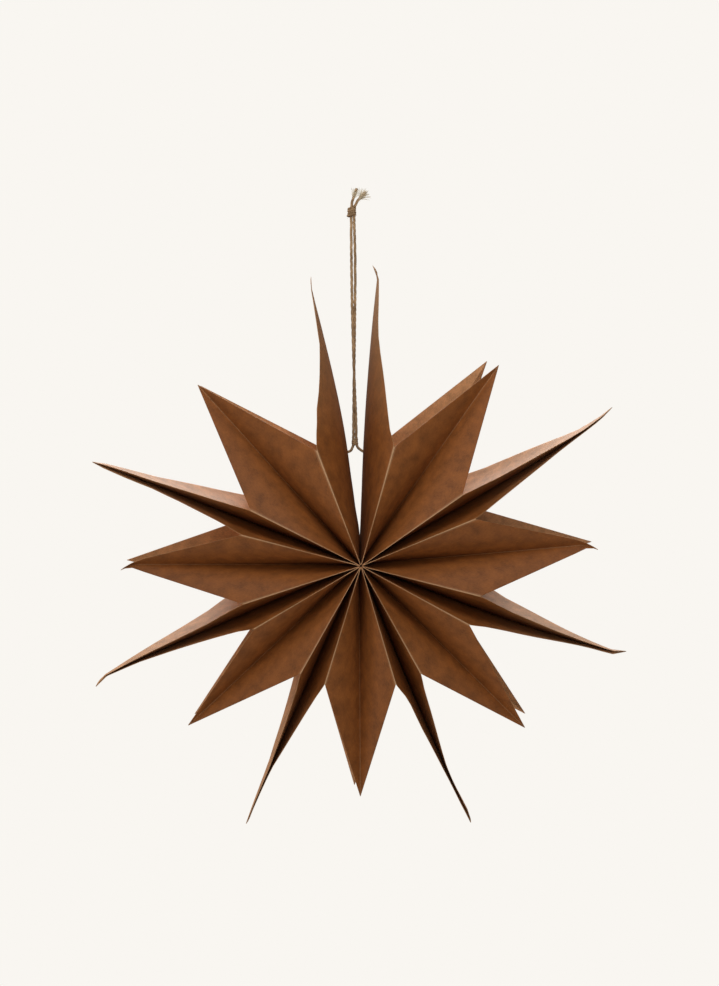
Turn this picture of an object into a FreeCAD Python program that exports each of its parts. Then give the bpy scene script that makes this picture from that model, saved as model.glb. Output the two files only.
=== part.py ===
"""Hanging star made of seven gusseted paper bags and two lengths of twine.

Each bag is one folded sheet: two wide panels joined at front and back by a gusset with a
crease down its middle, closed at the bottom and cut to points at the mouth. All bag bottoms
meet on the star's axis, and each panel is glued along its middle to the panel next to it.
The two outermost panels aren't glued. Each has a hole with a string through it, and the
two strings run up together to a knot.

Frame: the star lies in the XZ plane with its axis along Y and its front at -Y, and +Z is up.
The origin is the point between the strings, just under the top knot, where a hook carries it.
Directions are in degrees from straight up, clockwise as seen from the front.
"""
import FreeCAD, Part
import math
import os
from FreeCAD import Rotation, Vector

# Driving dimensions in millimetres and degrees.
SIZES = {
    "panel_width": 130.0,
    "gusset_half": 43.0,
    "paper_gauge": 0.25,
    "bottom_fold": 2.5,
    "axis_gap": 2.5,
    "shoulder_reach": 94.0,
    "spike_reach": 225.0,
    "crease_tip_depth": 49.0,
    "glue_band": 10.0,
    "hang_height": 266.0,
    "hang_offset": 4.4,
    "hole_height": 86.0,
    "hole_bore": 3.0,
    "twine_gauge": 2.1,
    "stopper_gauge": 1.8,
    "lower_knot_gauge": 1.2,
    "top_knot_gauge": 1.7,
    "lower_knot_height": 93.7,
    "top_knot_height": 272.6,
}

# Each bag from the upper right clockwise: its name, the directions of its left and right fold
# edges at the front, the same at the back, and the direction in which its creases point.
BAGS = [
    ("bag_upper_right", 15.5, 55.2, 12.3, 49.5, 34.4),
    ("bag_right", 67.6, 104.4, 62.0, 99.0, 85.2),
    ("bag_lower_right", 118.5, 151.0, 117.5, 148.8, 134.2),
    ("bag_bottom", 163.5, 197.1, 162.5, 197.5, 180.2),
    ("bag_lower_left", 209.3, 239.7, 209.9, 238.3, 227.1),
    ("bag_left", 252.1, 284.7, 255.9, 290.0, 270.2),
    ("bag_upper_left", 296.7, 339.1, 301.5, 342.3, 318.2),
]

# Each seam from the right end panel clockwise to the left end panel: its direction up to the
# shoulders, and the direction of its spike's tip.
SEAM_DIRECTIONS = [
    (3.5, 3.0),
    (61.3, 59.3),
    (111.2, 109.2),
    (157.6, 156.7),
    (203.3, 203.0),
    (246.0, 245.5),
    (290.7, 290.9),
    (354.6, 350.3),
]

# A glued panel stays by its neighbour for longer than a free one before it bends away.
GLUED_BEND_POWER = 2.8
FREE_BEND_POWER = 2.0

# Shares of the way from the glue band to the fold edge where a panel has a line.
PANEL_SHARES = (0.0, 0.3, 0.55, 0.78, 1.0)

# Shares of the way from the axis to the shoulders where a bag has a section. The walls come
# together towards the axis, so the sections lie closer there.
SECTION_SHARES = (0.1, 0.32)

# The longest a sharp fold's inner corner may reach in, in paper thicknesses.
FOLD_FILL = 48.0

# Route of each string in the star's own frame: X, Y and Z from the star's centre. The first
# two points lie square to the end panel, each side of its hole.
ROUTE_LEFT = [
    (-12.0, 0.0, 85.6),
    (-6.8, 0.0, 86.1),
    (-4.0, 0.0, 90.0),
    (-3.8, 0.2, 98.0),
    (-3.7, 0.8, 113.0),
    (-3.4, 1.2, 142.0),
    (-2.7, 0.8, 190.0),
    (-2.3, 0.2, 233.0),
    (-3.0, -0.1, 258.0),
    (-3.3, -0.2, 268.0),
    (-3.2, -0.2, 277.0),
    (-0.3, -0.3, 283.4),
    (5.9, -0.4, 289.0),
]
ROUTE_RIGHT = [
    (9.1, 0.0, 85.8),
    (3.9, 0.0, 86.1),
    (-1.3, 0.0, 90.2),
    (-1.6, -0.2, 97.0),
    (-1.8, -0.8, 112.0),
    (-3.2, -1.2, 142.0),
    (-4.7, -0.8, 190.0),
    (-5.4, -0.2, 233.0),
    (-5.6, 0.1, 258.0),
    (-5.5, 0.2, 268.0),
    (-5.6, 0.2, 277.0),
    (-4.4, 0.4, 284.0),
    (-1.1, 0.5, 292.0),
]

# Share of the shorter run beside a corner that its arc takes up.
ARC_SHARE = 0.45

# Play between a stopper knot and its panel, between that knot and its one string, and
# between the other knots and the two strings that run up through them.
SEAT_GAP = 0.05
KNOT_PLAY = 0.15
PAIR_PLAY = 0.55

# How many turns of twine each knot shows, and the share of their own gauge by which they
# press into each other.
STOPPER_TURNS = 2
LOWER_TURNS = 4
TOP_TURNS = 4
TURN_PRESS = 0.1

doc = FreeCAD.newDocument("PaperStar")
sheet = doc.addObject("Spreadsheet::Sheet", "Sizes")
for row, (alias, number) in enumerate(SIZES.items(), start=1):
    sheet.set(f"A{row}", alias)
    sheet.set(f"B{row}", str(number))
    sheet.setAlias(f"B{row}", alias)
doc.recompute()


def size(alias):
    """Reads one driving dimension from the sheet."""
    return float(sheet.get(alias))


panel_half = size("panel_width") / 2
gauge = size("paper_gauge")
star_centre = Vector(size("hang_offset"), 0, -size("hang_height"))


def direction(degrees):
    """Unit vector in the star's plane, clockwise from straight up."""
    angle = math.radians(degrees)
    return Vector(math.sin(angle), 0, math.cos(angle))


def cut_reach(across):
    """How far from the axis the straight cut of the flat bag lies, this far from its middle."""
    fall = size("spike_reach") - size("shoulder_reach")
    return size("spike_reach") - fall * abs(across) / panel_half


class Line:
    """One straight line of the sheet from the axis to the cut edge, bent at the shoulders."""

    def __init__(self, depth, root, tip_point=None, tip_depth=None):
        self.depth = depth
        self.root = root
        self.tip_point = tip_point
        self.slope = 0.0
        if tip_depth is not None:
            self.slope = (tip_depth - depth) / tip_point.Length
            self.tip_point = tip_point + Vector(0, tip_depth, 0)
        elif tip_point is not None:
            self.tip_point = tip_point + Vector(0, depth, 0)

    def depth_at(self, reach):
        """Depth of the line this far from the axis."""
        return self.depth + self.slope * reach

    def point(self, reach):
        """Point of the line this far from the axis, up to the shoulders."""
        return direction(self.root) * reach + Vector(0, self.depth_at(reach), 0)


def panel_lines(seam, fold_front, fold_back, free):
    """Lines of one panel from its front fold edge to its back fold edge."""
    root, tip = seam
    bend = FREE_BEND_POWER if free else GLUED_BEND_POWER
    glue_half = size("glue_band") / 2
    lines = []
    for side, fold in ((-1, fold_front), (1, fold_back)):
        half = []
        for share in PANEL_SHARES:
            across = glue_half + (panel_half - glue_half) * share
            swing = (fold - root) * share ** bend
            end = direction(tip + swing) * cut_reach(across) if share < 1 else None
            half.append(Line(side * across, root + swing, end))
        lines.append(half)
    centre = Line(0.0, root, direction(tip) * size("spike_reach"))
    front, back = lines
    return front[::-1] + [centre] + back


def crease_line(side, crease):
    """The crease in the middle of a gusset, at the front for side -1."""
    depth = side * (panel_half - size("gusset_half"))
    tip_depth = side * size("crease_tip_depth")
    flat = cut_reach(depth)
    reach = math.sqrt(flat ** 2 - (tip_depth - depth) ** 2)
    return Line(depth, crease, direction(crease) * reach, tip_depth)


def inward_steps(section):
    """Step from each corner of a closed section to the paper's inner face."""
    steps = []
    count = len(section)
    for index, corner in enumerate(section):
        before = Vector(*section[index - 1], 0)
        after = Vector(*section[(index + 1) % count], 0)
        here = Vector(*corner, 0)
        arriving = (here - before).normalize()
        leaving = (after - here).normalize()
        normal_in = Vector(arriving.y, -arriving.x, 0)
        normal_out = Vector(leaving.y, -leaving.x, 0)
        middle = (normal_in + normal_out).normalize()
        step = gauge / middle.dot(normal_in)
        steps.append(middle * min(step, FOLD_FILL * gauge))
    return steps


def patch(first, second, third, fourth):
    """Face between four corners in order, flat where they are and twisted where they aren't."""
    if (third - fourth).Length < 1e-6:
        return Part.Face(Part.makePolygon([first, second, third, first]))
    near = Part.LineSegment(first, second).toShape()
    far = Part.LineSegment(fourth, third).toShape()
    return Part.makeRuledSurface(near, far)


def flat_rings(lines, middle, distance):
    """Outer and inner corners in a plane square to the bag's middle."""
    reaches = [distance / math.cos(math.radians(line.root - middle)) for line in lines]
    outer = [line.point(reach) for line, reach in zip(lines, reaches)]
    across_way = direction(middle + 90)
    steps = inward_steps([(point.dot(across_way), point.y) for point in outer])
    inner = [
        point + across_way * step.x + Vector(0, step.y, 0) for point, step in zip(outer, steps)
    ]
    return outer, inner


def shoulder_rings(lines, middle):
    """Outer and inner corners at the shoulders, where each line is equally far out."""
    reach = size("shoulder_reach")
    outer = [line.point(reach) for line in lines]
    section = [
        (math.radians(line.root - middle) * reach, line.depth_at(reach)) for line in lines
    ]
    steps = inward_steps(section)
    inner = [
        point + direction(line.root + 90) * step.x + Vector(0, step.y, 0)
        for point, line, step in zip(outer, lines, steps)
    ]
    return outer, inner


def bag_shape(index):
    """One bag as a closed solid of folded paper, around the star's centre."""
    _, fold_left, fold_right, back_left, back_right, crease = BAGS[index]
    middle = (fold_left + fold_right) / 2
    last = len(BAGS) - 1
    left = panel_lines(SEAM_DIRECTIONS[index], fold_left, back_left, index == 0)
    right = panel_lines(SEAM_DIRECTIONS[index + 1], fold_right, back_right, index == last)
    # Around the bag's mouth: along the left panel to the back, over the back gusset, along
    # the right panel to the front and over the front gusset.
    lines = left + [crease_line(1, crease)] + right[::-1] + [crease_line(-1, crease)]

    near_distance = size("axis_gap")
    outer_start, _ = flat_rings(lines, middle, near_distance)
    # The bag's bottom is folded over and glued, so the hollow starts that much further out.
    _, inner_start = flat_rings(lines, middle, near_distance + size("bottom_fold"))
    outer, inner = [outer_start], [inner_start]
    for share in SECTION_SHARES:
        outside, inside = flat_rings(lines, middle, share * size("shoulder_reach"))
        outer.append(outside)
        inner.append(inside)
    outside, inside = shoulder_rings(lines, middle)
    outer.append(outside)
    inner.append(inside)

    outer_end, inner_end = [], []
    for line, outside, inside in zip(lines, outer[-1], inner[-1]):
        end = outside if line.tip_point is None else line.tip_point
        outer_end.append(end)
        inner_end.append(end + inside - outside)
    outer.append(outer_end)
    inner.append(inner_end)

    faces = [Part.Face(Part.makePolygon(ring + ring[:1])) for ring in (outer[0], inner[0])]
    for rings in (outer, inner):
        for near, far in zip(rings, rings[1:]):
            faces += ring_faces(near, far)
    faces += ring_faces(outer_end, inner_end)
    shell = Part.makeShell(faces)
    shell.sewShape()
    solid = Part.makeSolid(shell)
    if solid.Volume < 0:
        solid.reverse()
    return solid


def ring_faces(near, far):
    """Faces between two rings of corners, leaving out those with no width."""
    faces = []
    count = len(near)
    for index in range(count):
        after = (index + 1) % count
        corners = (near[index], near[after], far[after], far[index])
        if (corners[0] - corners[3]).Length < 1e-6:
            corners = (corners[1], corners[2], corners[0], corners[0])
        elif (corners[1] - corners[2]).Length < 1e-6:
            corners = (corners[0], corners[1], corners[3], corners[3])
        faces.append(patch(*corners))
    return faces


def cord_shape(route, radius, label):
    """Round twine along straight runs joined by arcs."""
    points = [Vector(*point) for point in route]
    edges = []
    radii = []
    start = points[0]
    for before, corner, after in zip(points, points[1:], points[2:]):
        back = before - corner
        onward = after - corner
        turn = math.pi - back.getAngle(onward)
        reach = ARC_SHARE * min(back.Length, onward.Length)
        radii.append(reach / math.tan(turn / 2))
        back.normalize()
        onward.normalize()
        arc_start = corner + back * reach
        arc_end = corner + onward * reach
        bisector = (back + onward).normalize()
        sag = radii[-1] / math.cos(turn / 2) - radii[-1]
        edges.append(Part.LineSegment(start, arc_start).toShape())
        edges.append(Part.Arc(arc_start, corner + bisector * sag, arc_end).toShape())
        start = arc_end
    edges.append(Part.LineSegment(start, points[-1]).toShape())
    path = Part.Wire(edges)
    section = Part.Wire(Part.makeCircle(radius, points[0], points[1] - points[0]))
    tube = path.makePipeShell([section], True, False)
    print(f"{label}: length {path.Length:.1f} mm, radii " + " ".join(f"{r:.1f}" for r in radii))
    print(f"{label}: volume is {tube.Volume / (math.pi * radius ** 2 * path.Length):.4f} of its run")
    return tube


def add_feature(name, shape):
    """A sub-part whose shape is worked out here, placed at the star's centre."""
    feature = doc.addObject("Part::Feature", name)
    feature.Shape = shape
    feature.Placement.Base = star_centre
    feature.Label = name
    return feature


def add_cut(name, base, tool):
    """A sub-part made by taking one object away from another."""
    cut = doc.addObject("Part::Cut", name)
    cut.Base = base
    cut.Tool = tool
    cut.Label = name
    return cut


def add_knot(name, turns, gauge_alias, hole_radius, centre, along):
    """A knot as turns of pulled-tight twine around the strings that run through it."""
    turn_gauge = size(gauge_alias)
    pitch = turn_gauge * (1 - TURN_PRESS)
    rings = []
    for number in range(turns):
        ring = doc.addObject("Part::Torus", f"{name}_turn_{number + 1}")
        ring.setExpression("Radius2", f"Sizes.{gauge_alias} / 2")
        ring.setExpression("Radius1", f"Sizes.{gauge_alias} / 2 + {hole_radius}")
        shift = along * pitch * (number - (turns - 1) / 2)
        turn = Rotation(Vector(0, 0, 1), along)
        ring.Placement = FreeCAD.Placement(star_centre + centre + shift, turn)
        rings.append(ring)
    knot = doc.addObject("Part::MultiFuse", name)
    knot.Shapes = rings
    knot.Label = name
    return knot


def hole_centre(seam):
    """Middle of an end panel's hole, on the panel's middle line."""
    return direction(seam[0]) * (size("hole_height") / direction(seam[0]).z)


def hole_tool(name, seam):
    """The punched hole through an end panel, on its middle line."""
    tool = doc.addObject("Part::Cylinder", name)
    tool.setExpression("Radius", "Sizes.hole_bore / 2")
    tool.setExpression("Height", "Sizes.panel_width / 10")
    along = direction(seam[0] + 90)
    centre = star_centre + hole_centre(seam)
    rotation = Rotation(Vector(0, 0, 1), along)
    tool.Placement = FreeCAD.Placement(centre - along * size("panel_width") / 20, rotation)
    return tool


parts = []
for index, (name, *_) in enumerate(BAGS):
    if index == 0:
        sheet_part = add_feature(name + "_sheet", bag_shape(index))
        parts.append(add_cut(name, sheet_part, hole_tool("right_hole", SEAM_DIRECTIONS[0])))
    elif index == len(BAGS) - 1:
        sheet_part = add_feature(name + "_sheet", bag_shape(index))
        parts.append(add_cut(name, sheet_part, hole_tool("left_hole", SEAM_DIRECTIONS[-1])))
    else:
        parts.append(add_feature(name, bag_shape(index)))

twine_radius = size("twine_gauge") / 2
for name, route in (("string_left", ROUTE_LEFT), ("string_right", ROUTE_RIGHT)):
    parts.append(add_feature(name, cord_shape(route, twine_radius, name)))

one_string = twine_radius + KNOT_PLAY
both_strings = size("twine_gauge") + PAIR_PLAY


def stopper_knot(name, seam, side):
    """The knot at a string's end, against the inner face of its end panel."""
    turn_gauge = size("stopper_gauge")
    length = turn_gauge * (1 + (1 - TURN_PRESS) * (STOPPER_TURNS - 1))
    square = direction(seam[0] + 90) * side
    centre = hole_centre(seam) + square * (gauge + SEAT_GAP + length / 2)
    return add_knot(name, STOPPER_TURNS, "stopper_gauge", one_string, centre, square)


def pair_knot(name, turns, gauge_alias, height_alias):
    """A knot around both strings where they run up side by side."""
    height = size(height_alias)
    middle = Vector()
    for route in (ROUTE_LEFT, ROUTE_RIGHT):
        for below, above in zip(route, route[1:]):
            if below[2] <= height < above[2]:
                share = (height - below[2]) / (above[2] - below[2])
                middle += (Vector(*below) * (1 - share) + Vector(*above) * share) / 2
    return add_knot(name, turns, gauge_alias, both_strings, middle, Vector(0, 0, 1))


parts += [
    stopper_knot("stopper_knot_left", SEAM_DIRECTIONS[-1], -1),
    stopper_knot("stopper_knot_right", SEAM_DIRECTIONS[0], 1),
    pair_knot("lower_knot", LOWER_TURNS, "lower_knot_gauge", "lower_knot_height"),
    pair_knot("top_knot", TOP_TURNS, "top_knot_gauge", "top_knot_height"),
]

doc.recompute()
for obj in doc.Objects:
    if "Invalid" in obj.State or "Error" in obj.State:
        raise RuntimeError(f"{obj.Label} failed: {obj.State}")
for part in parts:
    if part.Shape.isNull() or not part.Shape.isValid():
        raise RuntimeError(f"{part.Label} has no valid shape")
    print(f"{part.Label}: {len(part.Shape.Solids)} solid, volume {part.Shape.Volume:.1f} mm3")

os.makedirs("parts", exist_ok=True)
for part in parts:
    part.Shape.exportStep(os.path.join("parts", part.Label + ".step"))
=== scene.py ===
import logging
import math
from dataclasses import dataclass, field
from enum import Enum
from typing import Any, Optional, Sequence

import bpy
import numpy as np
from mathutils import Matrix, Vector


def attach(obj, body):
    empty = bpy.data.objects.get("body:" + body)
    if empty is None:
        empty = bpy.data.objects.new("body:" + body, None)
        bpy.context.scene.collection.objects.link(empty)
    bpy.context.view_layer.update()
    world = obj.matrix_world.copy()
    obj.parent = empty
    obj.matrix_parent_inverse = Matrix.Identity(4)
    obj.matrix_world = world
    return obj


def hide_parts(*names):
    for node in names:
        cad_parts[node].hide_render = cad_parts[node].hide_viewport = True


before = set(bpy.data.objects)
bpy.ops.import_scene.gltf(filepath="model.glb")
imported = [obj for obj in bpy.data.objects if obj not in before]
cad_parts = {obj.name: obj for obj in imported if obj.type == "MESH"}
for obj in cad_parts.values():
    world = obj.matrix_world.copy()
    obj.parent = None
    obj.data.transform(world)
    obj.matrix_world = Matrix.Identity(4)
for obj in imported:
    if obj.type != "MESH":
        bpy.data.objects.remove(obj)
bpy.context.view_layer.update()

log = logging.getLogger("paper_star")

MM = 0.001
# The star's centre in the object's frame, and its own sizes, all in millimetres. A bag's
# creased gussets lie between its two panels, and reach and direction are measured from the
# star's axis, with directions in degrees clockwise from straight up.
STAR_CENTRE = np.array([4.4, 0.0, -266.0])
PANEL_HALF = 65.0
GUSSET_HALF = 43.0
SHOULDER_REACH = 94.0
AXIS_GAP = 1.0
PAPER_GAUGE = 0.25
TWINE_GAUGE = 2.1
TWINE_PITCH = 18.0
PLIES = 3
# Shares of the twine's gauge: each ply's radius, and how far its middle is from the twine's.
PLY_RADIUS = 0.3
PLY_OFFSET = 0.25
# Steps between the points along a ply.
PLY_STEP = 0.35
# How much a noise along a ply is shortened, so that it is drawn out into fibres.
FIBRE_DRAW = 0.06
# A panel's width past the shoulders is never taken as less than this.
LEAST_WIDTH = 0.05
# What lies further than this from the star's middle plane belongs to one face's petals.
PETAL_DEPTH = 20.0
# How far from a corner of a seam's line the line is rounded.
SEAM_SOFTNESS = 7.0
# The photograph's focal length and height in pixels, and the camera's sensor in millimetres.
FOCAL_PIXELS = 3193.0
FRAME_PIXELS = 986.0
SENSOR = 36.0


class Side(Enum):
    """Which face of the star a fold or a crease belongs to."""

    FRONT = -1
    BACK = 1


def linear(code: str) -> tuple[float, float, float, float]:
    """Turns an sRGB hex value into linear colour.

    Args:
        code: the colour as "#rrggbb".

    Returns:
        Red, green, blue and alpha for a shader socket.
    """
    parts = [int(code[i : i + 2], 16) / 255 for i in (1, 3, 5)]
    values = [p / 12.92 if p <= 0.04045 else ((p + 0.055) / 1.055) ** 2.4 for p in parts]
    return (values[0], values[1], values[2], 1.0)


def heading(degrees: np.ndarray | float) -> np.ndarray:
    """Unit vectors in the star's plane, clockwise from straight up as seen from the front."""
    angle = np.radians(np.asarray(degrees, float))
    return np.stack([np.sin(angle), np.zeros_like(angle), np.cos(angle)], axis=-1)


def unit(vectors: np.ndarray) -> np.ndarray:
    """The vectors at length one."""
    return vectors / np.maximum(np.linalg.norm(vectors, axis=-1, keepdims=True), 1e-12)


def softened(stations: Sequence[tuple[float, float]], at: np.ndarray, blur: float) -> np.ndarray:
    """A line through stations, with its corners rounded.

    Args:
        stations: pairs of place and value, in order.
        at: places to read it at.
        blur: how far each corner is spread to each side.

    Returns:
        The values at those places.
    """
    xs, ys = zip(*stations)
    shifts = np.linspace(-blur, blur, 9)
    return np.mean([np.interp(at + shift, xs, ys) for shift in shifts], axis=0)


def add_node(
    tree: bpy.types.NodeTree, kind: str, values: Optional[dict] = None, **settings: Any
) -> bpy.types.Node:
    """Adds a node with its settings and links.

    Args:
        tree: the node tree.
        kind: Blender's name for the node type.
        values: socket name or number to a value or to an output socket that feeds it.
        settings: the node's own properties, which are set before its sockets are looked up.

    Returns:
        The node.
    """
    node = tree.nodes.new(kind)
    for key, value in settings.items():
        setattr(node, key, value)
    for key, value in (values or {}).items():
        socket = node.inputs[key]
        if isinstance(value, bpy.types.NodeSocket):
            tree.links.new(value, socket)
        else:
            socket.default_value = value
    return node


def mesh_object(
    name: str,
    verts: np.ndarray,
    edges: Sequence = (),
    faces: Sequence = (),
    materials: Sequence = (),
) -> bpy.types.Object:
    """Makes an object of a mesh given in millimetres from the star's centre.

    Args:
        name: the piece's name.
        verts: points in millimetres.
        edges: pairs of point numbers, where it has edges alone.
        faces: tuples of point numbers.
        materials: its material slots.

    Returns:
        The object, at the origin.
    """
    mesh = bpy.data.meshes.new(name)
    mesh.from_pydata(((verts + STAR_CENTRE) * MM).tolist(), edges, faces)
    for material in materials:
        mesh.materials.append(material)
    obj = bpy.data.objects.new(name, mesh)
    bpy.context.scene.collection.objects.link(obj)
    return obj


@dataclass(frozen=True)
class KraftPaper:
    """Machine-glazed brown kraft paper, 190 g.

    The web's long fibres give it mottling about 10 mm wide and a fine grain along the sheet,
    with a few darker fibre bundles. Folding breaks the glazed skin, so each fold shows as a
    paler line. The spikes are painted paler towards their tips, a painted sheen for the grazing
    light on them. The inner side is painted paler too: painted sheen and painted light on the
    inner faces.

    Attributes:
        outer: colour of the outer side.
        inner: colour of the side inside the bag, painted paler as painted sheen and painted light.
        wear_and_sheen: colour where the skin is broken, and of the painted sheen at the spikes' tips.
        edge: colour of the cut edge.
        roughness: of the glazed skin.
        darkest: tone of the mottling's darkest blotches against the colour.
        palest: tone of its palest ones.
    """

    outer: str = "#8C5223"
    # The inner side is painted paler than the outer: painted sheen for the grazing light on the inner
    # faces, and painted light against their shade.
    inner: str = "#C78F60"
    # Colour of broken skin at folds, and of the painted sheen towards the spikes' tips.
    wear_and_sheen: str = "#DDB387"
    edge: str = "#B58A60"
    roughness: float = 0.58
    darkest: float = 0.68
    palest: float = 1.36

    def material(self, name: str, base: str, paling: float) -> bpy.types.Material:
        """One side of the sheet.

        Args:
            name: the material's name.
            base: its sRGB colour.
            paling: how strongly its folds' broken skin and its painted sheen show.

        Returns:
            The material.
        """
        made = bpy.data.materials.new(name)
        made.use_nodes = True
        tree = made.node_tree
        tree.nodes.clear()
        sheet = add_node(tree, "ShaderNodeUVMap", uv_map="sheet").outputs[0]
        # Cloudy formation of the web: blotches of about 10 mm.
        cloud = add_node(
            tree, "ShaderNodeTexNoise", {"Vector": sheet, "Scale": 95.0, "Detail": 5.0}
        )
        # Fibre bundles, about 2 mm long and under 1 mm wide, drawn out along the sheet.
        drawn = add_node(tree, "ShaderNodeMapping", {"Vector": sheet, "Scale": (2.4, 0.8, 1.0)})
        fibre = add_node(
            tree,
            "ShaderNodeTexNoise",
            {"Vector": drawn.outputs[0], "Scale": 560.0, "Detail": 4.0, "Roughness": 0.65},
        )
        mottle = add_node(
            tree, "ShaderNodeMath", {0: cloud.outputs[0], 1: 0.5}, operation="MULTIPLY"
        )
        grain = add_node(
            tree,
            "ShaderNodeMath",
            {0: fibre.outputs[0], 1: 0.5, 2: mottle.outputs[0]},
            operation="MULTIPLY_ADD",
        )
        tone = add_node(
            tree,
            "ShaderNodeMapRange",
            {"Value": grain.outputs[0], 1: 0.36, 2: 0.64, 3: self.darkest, 4: self.palest},
        )
        # Shives: thin dark bits of bark, about 0.3 mm wide and 1 mm long.
        specks = add_node(
            tree, "ShaderNodeTexVoronoi", {"Vector": drawn.outputs[0], "Scale": 300.0}
        )
        shive = add_node(
            tree,
            "ShaderNodeMapRange",
            {"Value": specks.outputs["Distance"], 1: 0.05, 2: 0.12, 3: 0.78, 4: 1.0},
        )
        depth = add_node(
            tree, "ShaderNodeMath", {0: tone.outputs[0], 1: shive.outputs[0]}, operation="MULTIPLY"
        )
        colour = add_node(
            tree,
            "ShaderNodeVectorMath",
            {0: linear(base)[:3], "Scale": depth.outputs[0]},
            operation="SCALE",
        )
        # The attribute holds the broken skin of folds and crease, and the painted sheen towards the
        # spikes' tips.
        fold = add_node(tree, "ShaderNodeAttribute", attribute_name="fold_wear")
        patchy = add_node(
            tree,
            "ShaderNodeMapRange",
            {"Value": fibre.outputs[0], 1: 0.3, 2: 0.6, 3: 0.6 * paling, 4: paling},
        )
        amount = add_node(
            tree,
            "ShaderNodeMath",
            {0: fold.outputs["Fac"], 1: patchy.outputs[0]},
            operation="MULTIPLY",
            use_clamp=True,
        )
        # Paler where the skin is broken, and where painted sheen lies towards the spikes' tips.
        wear_and_sheen = add_node(
            tree,
            "ShaderNodeMix",
            {0: amount.outputs[0], 6: colour.outputs[0], 7: linear(self.wear_and_sheen)},
            data_type="RGBA",
        )
        bump = add_node(
            tree,
            "ShaderNodeBump",
            {"Strength": 0.3, "Distance": 0.0001, "Height": grain.outputs[0]},
        )
        skin = add_node(
            tree,
            "ShaderNodeBsdfPrincipled",
            {
                "Base Color": wear_and_sheen.outputs[2],
                "Roughness": self.roughness,
                "Specular IOR Level": 0.35,
                "Normal": bump.outputs[0],
            },
        )
        add_node(tree, "ShaderNodeOutputMaterial", {"Surface": skin.outputs[0]})
        return made

    def materials(self) -> list[bpy.types.Material]:
        """The sheet's outer side, its inner side and its cut edge."""
        return [
            self.material("kraft_paper_outer", self.outer, 1.0),
            self.material("kraft_paper_inner", self.inner, 0.4),
            self.material("kraft_paper_cut_edge", self.edge, 0.0),
        ]


@dataclass(frozen=True)
class JuteTwine:
    """Natural jute twine: coarse pale fibres, spun and plied, dull, with loose hairs.

    Attributes:
        pale: colour of the clean fibres.
        dark: colour of the dull ones.
        open_pale: colour of the clean fibres at the open ends.
        open_dark: colour of the dull ones there.
        roughness: of the fibres.
    """

    pale: str = "#C6A47C"
    dark: str = "#7F6448"
    open_pale: str = "#EFE6CE"
    open_dark: str = "#CDB994"
    roughness: float = 0.85

    def material(self, name: str, pale: str, dark: str) -> bpy.types.Material:
        """A jute material, with streaks along its plies.

        Args:
            name: the material's name.
            pale: sRGB colour of its clean fibres.
            dark: sRGB colour of its dull fibres.

        Returns:
            The material.
        """
        made = bpy.data.materials.new(name)
        made.use_nodes = True
        tree = made.node_tree
        tree.nodes.clear()
        lay = add_node(tree, "ShaderNodeAttribute", attribute_name="lay")
        # Fibres some 0.3 mm wide and 5 mm long, along each ply.
        streak = add_node(
            tree,
            "ShaderNodeTexNoise",
            {"Vector": lay.outputs["Vector"], "Scale": 3200.0, "Detail": 3.0},
        )
        place = add_node(tree, "ShaderNodeTexCoord")
        # Duller and cleaner lengths, some 11 mm each.
        patch = add_node(
            tree,
            "ShaderNodeTexNoise",
            {"Vector": place.outputs["Object"], "Scale": 90.0, "Detail": 1.0},
        )
        both = add_node(
            tree,
            "ShaderNodeMath",
            {0: patch.outputs[0], 1: 0.6, 2: streak.outputs[0]},
            operation="MULTIPLY_ADD",
        )
        ramp = add_node(tree, "ShaderNodeMapRange", {"Value": both.outputs[0], 1: 0.6, 2: 1.0})
        mixed = add_node(
            tree,
            "ShaderNodeMix",
            {0: ramp.outputs[0], 6: linear(dark), 7: linear(pale)},
            data_type="RGBA",
        )
        bump = add_node(
            tree,
            "ShaderNodeBump",
            {"Strength": 0.6, "Distance": 0.0002, "Height": streak.outputs[0]},
        )
        skin = add_node(
            tree,
            "ShaderNodeBsdfPrincipled",
            {
                "Base Color": mixed.outputs[2],
                "Roughness": self.roughness,
                "Specular IOR Level": 0.25,
                "Normal": bump.outputs[0],
            },
        )
        add_node(tree, "ShaderNodeOutputMaterial", {"Surface": skin.outputs[0]})
        return made

    def twine(self) -> bpy.types.Material:
        """The handled twine."""
        return self.material("jute_twine", self.pale, self.dark)

    def frayed(self) -> bpy.types.Material:
        """Its open ends, where clean fibres show."""
        return self.material("jute_fibre", self.open_pale, self.open_dark)


@dataclass
class Seam:
    """Where two panels are glued along their middles, out to the tip of their spike.

    Attributes:
        line: pairs of reach from the axis and direction, along the panels' middle.
        before: reach and direction along the cut edge of the panel on its anticlockwise side,
            the half that stands out further.
        after: the same for the panel on its clockwise side.
    """

    line: list[tuple[float, float]]
    before: list[tuple[float, float]] = field(default_factory=list)
    after: list[tuple[float, float]] = field(default_factory=list)

    def angle(self, reach: np.ndarray) -> np.ndarray:
        """Direction of the middle line at each reach."""
        return softened(self.line, reach, SEAM_SOFTNESS)

    def tip_reach(self) -> float:
        """How far from the axis the spike ends."""
        return self.line[-1][0]


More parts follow.
